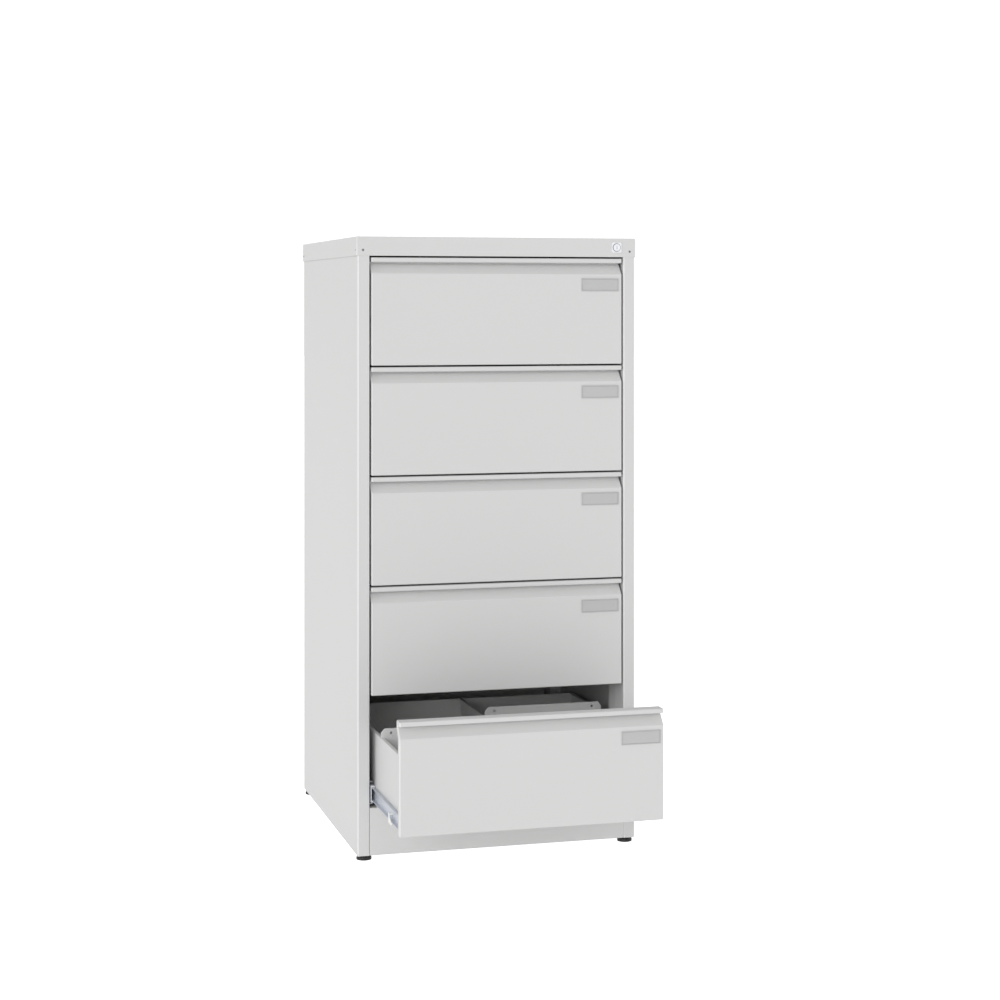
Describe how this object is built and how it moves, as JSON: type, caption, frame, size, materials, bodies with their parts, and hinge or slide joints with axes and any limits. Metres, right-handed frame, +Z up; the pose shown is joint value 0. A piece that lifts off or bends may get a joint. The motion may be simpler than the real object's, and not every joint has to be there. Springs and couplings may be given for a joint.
{
  "type": "filing cabinet",
  "caption": "Tall light grey steel card-filing cabinet with full-width drawers on ball-bearing slides, lip grips, label frames and a central lock; lowest drawer partly open.",
  "frame": {"origin": "on the floor, under the middle of the whole object with the lowest drawer standing open as at rest", "axes": "+X to the right seen from the front, +Y from the drawer fronts to the back, +Z up"},
  "size_m": [0.5996, 0.8938, 1.271],
  "materials": {
    "painted_steel": "smooth satin powder coat, light grey",
    "bright_zinc": "bright zinc plating with a cool tint",
    "chrome": "polished nickel plating",
    "black_plastic": "black moulded plastic pad",
    "label_frame": "mid grey card frame",
    "white_plastic": "natural white acetal"
  },
  "bodies": {
    "case": {"left_side_panel": "painted_steel", "right_side_panel": "painted_steel", "rear_panel": "painted_steel", "top_cap": "painted_steel", "plinth_panel": "painted_steel", "base_panel": "painted_steel", "uprights": "painted_steel", "cap_rivets": "bright_zinc", "foot_nuts": "bright_zinc", "slide_outer_members": "bright_zinc", "slide_screws": "bright_zinc", "lock_housing": "chrome", "lock_bar_guides": "white_plastic"},
    "lock_core": {"lock_core": "chrome", "lock_cam": "bright_zinc"},
    "lock_bar": {"lock_bar": "bright_zinc"},
    "front_left_foot": {"front_left_foot": "black_plastic"},
    "front_right_foot": {"front_right_foot": "black_plastic"},
    "rear_left_foot": {"rear_left_foot": "black_plastic"},
    "rear_right_foot": {"rear_right_foot": "black_plastic"},
    "drawer_1": {"drawer_1_front": "painted_steel", "drawer_1_tray": "painted_steel", "drawer_1_divider": "painted_steel", "drawer_1_label_holder": "label_frame", "drawer_1_runners": "bright_zinc"},
    "drawer_1_left_separator": {"drawer_1_left_separator": "painted_steel"},
    "drawer_1_right_separator": {"drawer_1_right_separator": "painted_steel"},
    "drawer_1_middles": {"drawer_1_slide_middles": "bright_zinc"},
    "drawer_2": {"drawer_2_front": "painted_steel", "drawer_2_tray": "painted_steel", "drawer_2_divider": "painted_steel", "drawer_2_label_holder": "label_frame", "drawer_2_runners": "bright_zinc"},
    "drawer_2_left_separator": {"drawer_2_left_separator": "painted_steel"},
    "drawer_2_right_separator": {"drawer_2_right_separator": "painted_steel"},
    "drawer_2_middles": {"drawer_2_slide_middles": "bright_zinc"},
    "drawer_3": {"drawer_3_front": "painted_steel", "drawer_3_tray": "painted_steel", "drawer_3_divider": "painted_steel", "drawer_3_label_holder": "label_frame", "drawer_3_runners": "bright_zinc"},
    "drawer_3_left_separator": {"drawer_3_left_separator": "painted_steel"},
    "drawer_3_right_separator": {"drawer_3_right_separator": "painted_steel"},
    "drawer_3_middles": {"drawer_3_slide_middles": "bright_zinc"},
    "drawer_4": {"drawer_4_front": "painted_steel", "drawer_4_tray": "painted_steel", "drawer_4_divider": "painted_steel", "drawer_4_label_holder": "label_frame", "drawer_4_runners": "bright_zinc"},
    "drawer_4_left_separator": {"drawer_4_left_separator": "painted_steel"},
    "drawer_4_right_separator": {"drawer_4_right_separator": "painted_steel"},
    "drawer_4_middles": {"drawer_4_slide_middles": "bright_zinc"},
    "drawer_5": {"drawer_5_front": "painted_steel", "drawer_5_tray": "painted_steel", "drawer_5_divider": "painted_steel", "drawer_5_label_holder": "label_frame", "drawer_5_runners": "bright_zinc"},
    "drawer_5_left_separator": {"drawer_5_left_separator": "painted_steel"},
    "drawer_5_right_separator": {"drawer_5_right_separator": "painted_steel"},
    "drawer_5_middles": {"drawer_5_slide_middles": "bright_zinc"}
  },
  "joints": [
    {"name": "drawer_1_slide", "type": "slide", "parent": "case", "child": "drawer_1", "axis": [0, -1, 0], "range_m": [0, 0.54]},
    {"name": "drawer_1_middles_slide", "type": "slide", "parent": "case", "child": "drawer_1_middles", "axis": [0, -1, 0], "range_m": [0, 0.27]},
    {"name": "drawer_1_left_separator_slide", "type": "slide", "parent": "drawer_1", "child": "drawer_1_left_separator", "axis": [0, 1, 0], "range_m": [-0.195, 0.371]},
    {"name": "drawer_1_right_separator_slide", "type": "slide", "parent": "drawer_1", "child": "drawer_1_right_separator", "axis": [0, 1, 0], "range_m": [-0.357, 0.209]},
    {"name": "drawer_2_slide", "type": "slide", "parent": "case", "child": "drawer_2", "axis": [0, -1, 0], "range_m": [0, 0.54]},
    {"name": "drawer_2_middles_slide", "type": "slide", "parent": "case", "child": "drawer_2_middles", "axis": [0, -1, 0], "range_m": [0, 0.27]},
    {"name": "drawer_2_left_separator_slide", "type": "slide", "parent": "drawer_2", "child": "drawer_2_left_separator", "axis": [0, 1, 0], "range_m": [-0.195, 0.371]},
    {"name": "drawer_2_right_separator_slide", "type": "slide", "parent": "drawer_2", "child": "drawer_2_right_separator", "axis": [0, 1, 0], "range_m": [-0.357, 0.209]},
    {"name": "drawer_3_slide", "type": "slide", "parent": "case", "child": "drawer_3", "axis": [0, -1, 0], "range_m": [0, 0.54]},
    {"name": "drawer_3_middles_slide", "type": "slide", "parent": "case", "child": "drawer_3_middles", "axis": [0, -1, 0], "range_m": [0, 0.27]},
    {"name": "drawer_3_left_separator_slide", "type": "slide", "parent": "drawer_3", "child": "drawer_3_left_separator", "axis": [0, 1, 0], "range_m": [-0.195, 0.371]},
    {"name": "drawer_3_right_separator_slide", "type": "slide", "parent": "drawer_3", "child": "drawer_3_right_separator", "axis": [0, 1, 0], "range_m": [-0.357, 0.209]},
    {"name": "drawer_4_slide", "type": "slide", "parent": "case", "child": "drawer_4", "axis": [0, -1, 0], "range_m": [0, 0.54]},
    {"name": "drawer_4_middles_slide", "type": "slide", "parent": "case", "child": "drawer_4_middles", "axis": [0, -1, 0], "range_m": [0, 0.27]},
    {"name": "drawer_4_left_separator_slide", "type": "slide", "parent": "drawer_4", "child": "drawer_4_left_separator", "axis": [0, 1, 0], "range_m": [-0.195, 0.371]},
    {"name": "drawer_4_right_separator_slide", "type": "slide", "parent": "drawer_4", "child": "drawer_4_right_separator", "axis": [0, 1, 0], "range_m": [-0.357, 0.209]},
    {"name": "drawer_5_slide", "type": "slide", "parent": "case", "child": "drawer_5", "axis": [0, -1, 0], "range_m": [-0.262, 0.278]},
    {"name": "drawer_5_middles_slide", "type": "slide", "parent": "case", "child": "drawer_5_middles", "axis": [0, -1, 0], "range_m": [-0.131, 0.139]},
    {"name": "drawer_5_left_separator_slide", "type": "slide", "parent": "drawer_5", "child": "drawer_5_left_separator", "axis": [0, 1, 0], "range_m": [-0.195, 0.371]},
    {"name": "drawer_5_right_separator_slide", "type": "slide", "parent": "drawer_5", "child": "drawer_5_right_separator", "axis": [0, 1, 0], "range_m": [-0.357, 0.209]},
    {"name": "lock_core_turn", "type": "hinge", "parent": "case", "child": "lock_core", "pos_m": [0.257, -0.1831, 1.252], "axis": [0, -1, 0], "range_deg": [0, 90]},
    {"name": "lock_bar_slide", "type": "slide", "parent": "case", "child": "lock_bar", "axis": [0, 0, 1], "range_m": [0, 0.0128]},
    {"name": "front_left_foot_turn", "type": "hinge", "parent": "case", "child": "front_left_foot", "pos_m": [-0.2805, -0.1651, 0], "axis": [0, 0, 1], "continuous": true},
    {"name": "front_right_foot_turn", "type": "hinge", "parent": "case", "child": "front_right_foot", "pos_m": [0.2805, -0.1651, 0], "axis": [0, 0, 1], "continuous": true},
    {"name": "rear_left_foot_turn", "type": "hinge", "parent": "case", "child": "rear_left_foot", "pos_m": [-0.2805, 0.4269, 0], "axis": [0, 0, 1], "continuous": true},
    {"name": "rear_right_foot_turn", "type": "hinge", "parent": "case", "child": "rear_right_foot", "pos_m": [0.2805, 0.4269, 0], "axis": [0, 0, 1], "continuous": true}
  ],
  "couplings": [
    {"joint": "drawer_1_middles_slide", "follows": "drawer_1_slide", "ratio": 0.5},
    {"joint": "drawer_2_middles_slide", "follows": "drawer_2_slide", "ratio": 0.5},
    {"joint": "drawer_3_middles_slide", "follows": "drawer_3_slide", "ratio": 0.5},
    {"joint": "drawer_4_middles_slide", "follows": "drawer_4_slide", "ratio": 0.5},
    {"joint": "drawer_5_middles_slide", "follows": "drawer_5_slide", "ratio": 0.5},
    {"joint": "lock_core_turn", "follows": "lock_bar_slide", "rad_per_m": 122.72}
  ]
}
